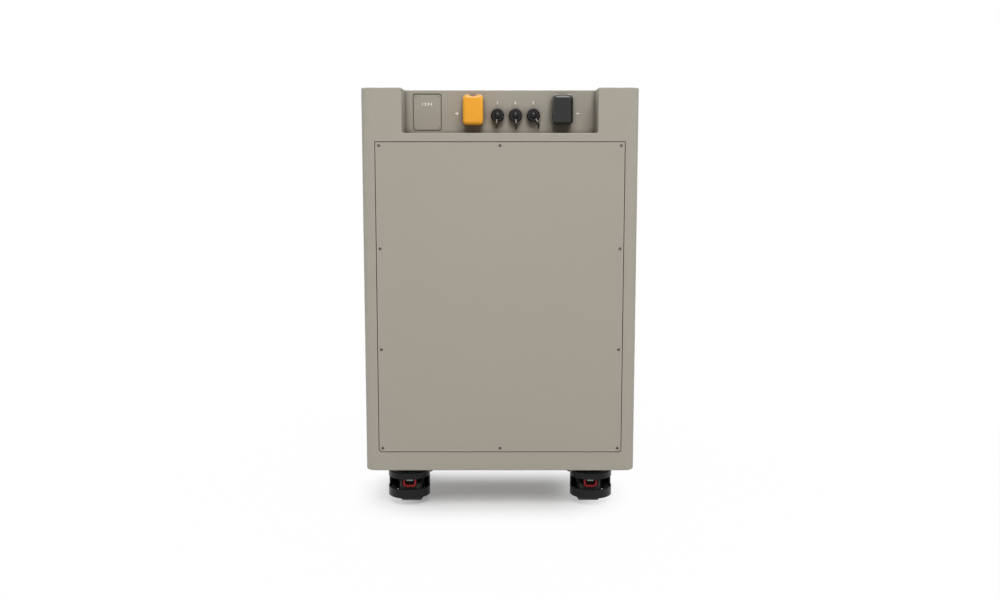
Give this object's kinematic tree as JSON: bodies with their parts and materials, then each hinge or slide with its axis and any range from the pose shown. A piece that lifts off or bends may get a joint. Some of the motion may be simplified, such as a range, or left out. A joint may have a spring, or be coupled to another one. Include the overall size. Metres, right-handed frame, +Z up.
{
  "type": "home battery",
  "caption": "Floor-standing home battery cabinet on hooded swivel casters, with a recessed connector bay, capped terminals and a screwed service panel.",
  "frame": {"origin": "on the floor, under the middle of the cabinet", "axes": "+Z up; -Y is the service side with the connector bay, +Y the room side; +X to the right when facing the service side"},
  "size_m": [0.48, 0.27, 0.747],
  "materials": {
    "casing": "powder coat",
    "chassis": "zinc plated",
    "seal": "matt foam",
    "screws": "zinc plated",
    "circuit_board": "solder mask",
    "socket_plastic": "moulded",
    "contact_metal": "silver plated",
    "positive_plastic": "satin moulded",
    "negative_plastic": "satin moulded",
    "dust_cap_plastic": "moulded",
    "tether_steel": "polished",
    "tether_cord": "moulded",
    "cell_can": "film wrapped",
    "copper": "bare",
    "sink": "extruded",
    "fuse_body": "ceramic",
    "lead_jacket": "insulated",
    "bezel": "moulded",
    "light_pipe": "diffuse",
    "caster_steel": "zinc plated",
    "hood_plastic": "glass-filled nylon",
    "wheel_plastic": "moulded nylon",
    "pedal_plastic": "moulded"
  },
  "bodies": {
    "case": {"enclosure_shell": "casing", "base_plate": "chassis", "service_panel": "casing", "panel_gasket": "seal", "panel_screws": "screws", "address_cover": "casing", "address_cover_screws": "screws", "address_switches": "circuit_board", "power_sockets": "socket_plastic", "power_socket_screws": "screws", "terminal_pins": "contact_metal", "signal_sockets": "socket_plastic", "signal_socket_nuts": "contact_metal", "tether_fittings": "tether_steel", "tether_1": "tether_cord", "tether_2": "tether_cord", "tether_3": "tether_cord", "battery_cells": "cell_can", "end_plates": "chassis", "tie_rods": "screws", "busbars": "copper", "module_brackets": "chassis", "control_board": "circuit_board", "heat_sink": "sink", "contactor": "socket_plastic", "main_fuse": "fuse_body", "power_leads": "lead_jacket", "button_bezel": "bezel", "status_light": "light_pipe", "caster_screws": "screws", "caster_plate_1": "caster_steel", "caster_plate_2": "caster_steel", "caster_plate_3": "caster_steel", "caster_plate_4": "caster_steel"},
    "positive_cap": {"positive_cap": "positive_plastic"},
    "negative_cap": {"negative_cap": "negative_plastic"},
    "dust_cap_1": {"dust_cap_1": "dust_cap_plastic"},
    "dust_cap_2": {"dust_cap_2": "dust_cap_plastic"},
    "dust_cap_3": {"dust_cap_3": "dust_cap_plastic"},
    "power_button": {"power_button": "bezel"},
    "caster_1": {"hood_1": "hood_plastic", "axle_1": "caster_steel"},
    "wheel_1": {"wheel_1": "wheel_plastic"},
    "brake_1": {"brake_pedal_1": "pedal_plastic", "brake_shaft_1": "caster_steel"},
    "caster_2": {"hood_2": "hood_plastic", "axle_2": "caster_steel"},
    "wheel_2": {"wheel_2": "wheel_plastic"},
    "brake_2": {"brake_pedal_2": "pedal_plastic", "brake_shaft_2": "caster_steel"},
    "caster_3": {"hood_3": "hood_plastic", "axle_3": "caster_steel"},
    "wheel_3": {"wheel_3": "wheel_plastic"},
    "brake_3": {"brake_pedal_3": "pedal_plastic", "brake_shaft_3": "caster_steel"},
    "caster_4": {"hood_4": "hood_plastic", "axle_4": "caster_steel"},
    "wheel_4": {"wheel_4": "wheel_plastic"},
    "brake_4": {"brake_pedal_4": "pedal_plastic", "brake_shaft_4": "caster_steel"}
  },
  "joints": [
    {"name": "positive_cap_pull", "type": "slide", "parent": "case", "child": "positive_cap", "axis": [0, -1, 0], "range_m": [0, 0.03]},
    {"name": "negative_cap_pull", "type": "slide", "parent": "case", "child": "negative_cap", "axis": [0, -1, 0], "range_m": [0, 0.03]},
    {"name": "dust_cap_1_turn", "type": "hinge", "parent": "case", "child": "dust_cap_1", "pos_m": [-0.0044, -0.074, 0.7025], "axis": [0, -1, 0], "range_deg": [0, 90]},
    {"name": "dust_cap_2_turn", "type": "hinge", "parent": "case", "child": "dust_cap_2", "pos_m": [0.0274, -0.074, 0.7025], "axis": [0, -1, 0], "range_deg": [0, 90]},
    {"name": "dust_cap_3_turn", "type": "hinge", "parent": "case", "child": "dust_cap_3", "pos_m": [0.0592, -0.074, 0.7025], "axis": [0, -1, 0], "range_deg": [0, 90]},
    {"name": "power_button_press", "type": "slide", "parent": "case", "child": "power_button", "axis": [0, -1, 0], "range_m": [0, 0.002], "stiffness_N_per_m": 400},
    {"name": "caster_1_swivel", "type": "hinge", "parent": "case", "child": "caster_1", "pos_m": [-0.167, -0.08, 0.06], "axis": [0, 0, 1], "continuous": true},
    {"name": "wheel_1_roll", "type": "hinge", "parent": "caster_1", "child": "wheel_1", "pos_m": [-0.1631, -0.076, 0.023], "axis": [1, 0, 0], "continuous": true},
    {"name": "brake_1_lift", "type": "hinge", "parent": "caster_1", "child": "brake_1", "pos_m": [-0.1645, -0.106, 0.053], "axis": [-1, 0, 0], "range_deg": [0, 30]},
    {"name": "caster_2_swivel", "type": "hinge", "parent": "case", "child": "caster_2", "pos_m": [0.167, -0.08, 0.06], "axis": [0, 0, 1], "continuous": true},
    {"name": "wheel_2_roll", "type": "hinge", "parent": "caster_2", "child": "wheel_2", "pos_m": [0.1631, -0.076, 0.023], "axis": [1, 0, 0], "continuous": true},
    {"name": "brake_2_lift", "type": "hinge", "parent": "caster_2", "child": "brake_2", "pos_m": [0.1645, -0.106, 0.053], "axis": [-1, 0, 0], "range_deg": [0, 30]},
    {"name": "caster_3_swivel", "type": "hinge", "parent": "case", "child": "caster_3", "pos_m": [-0.167, 0.08, 0.06], "axis": [0, 0, 1], "continuous": true},
    {"name": "wheel_3_roll", "type": "hinge", "parent": "caster_3", "child": "wheel_3", "pos_m": [-0.1631, 0.076, 0.023], "axis": [1, 0, 0], "continuous": true},
    {"name": "brake_3_lift", "type": "hinge", "parent": "caster_3", "child": "brake_3", "pos_m": [-0.1645, 0.106, 0.053], "axis": [1, 0, 0], "range_deg": [0, 30]},
    {"name": "caster_4_swivel", "type": "hinge", "parent": "case", "child": "caster_4", "pos_m": [0.167, 0.08, 0.06], "axis": [0, 0, 1], "continuous": true},
    {"name": "wheel_4_roll", "type": "hinge", "parent": "caster_4", "child": "wheel_4", "pos_m": [0.1631, 0.076, 0.023], "axis": [1, 0, 0], "continuous": true},
    {"name": "brake_4_lift", "type": "hinge", "parent": "caster_4", "child": "brake_4", "pos_m": [0.1645, 0.106, 0.053], "axis": [1, 0, 0], "range_deg": [0, 30]}
  ]
}
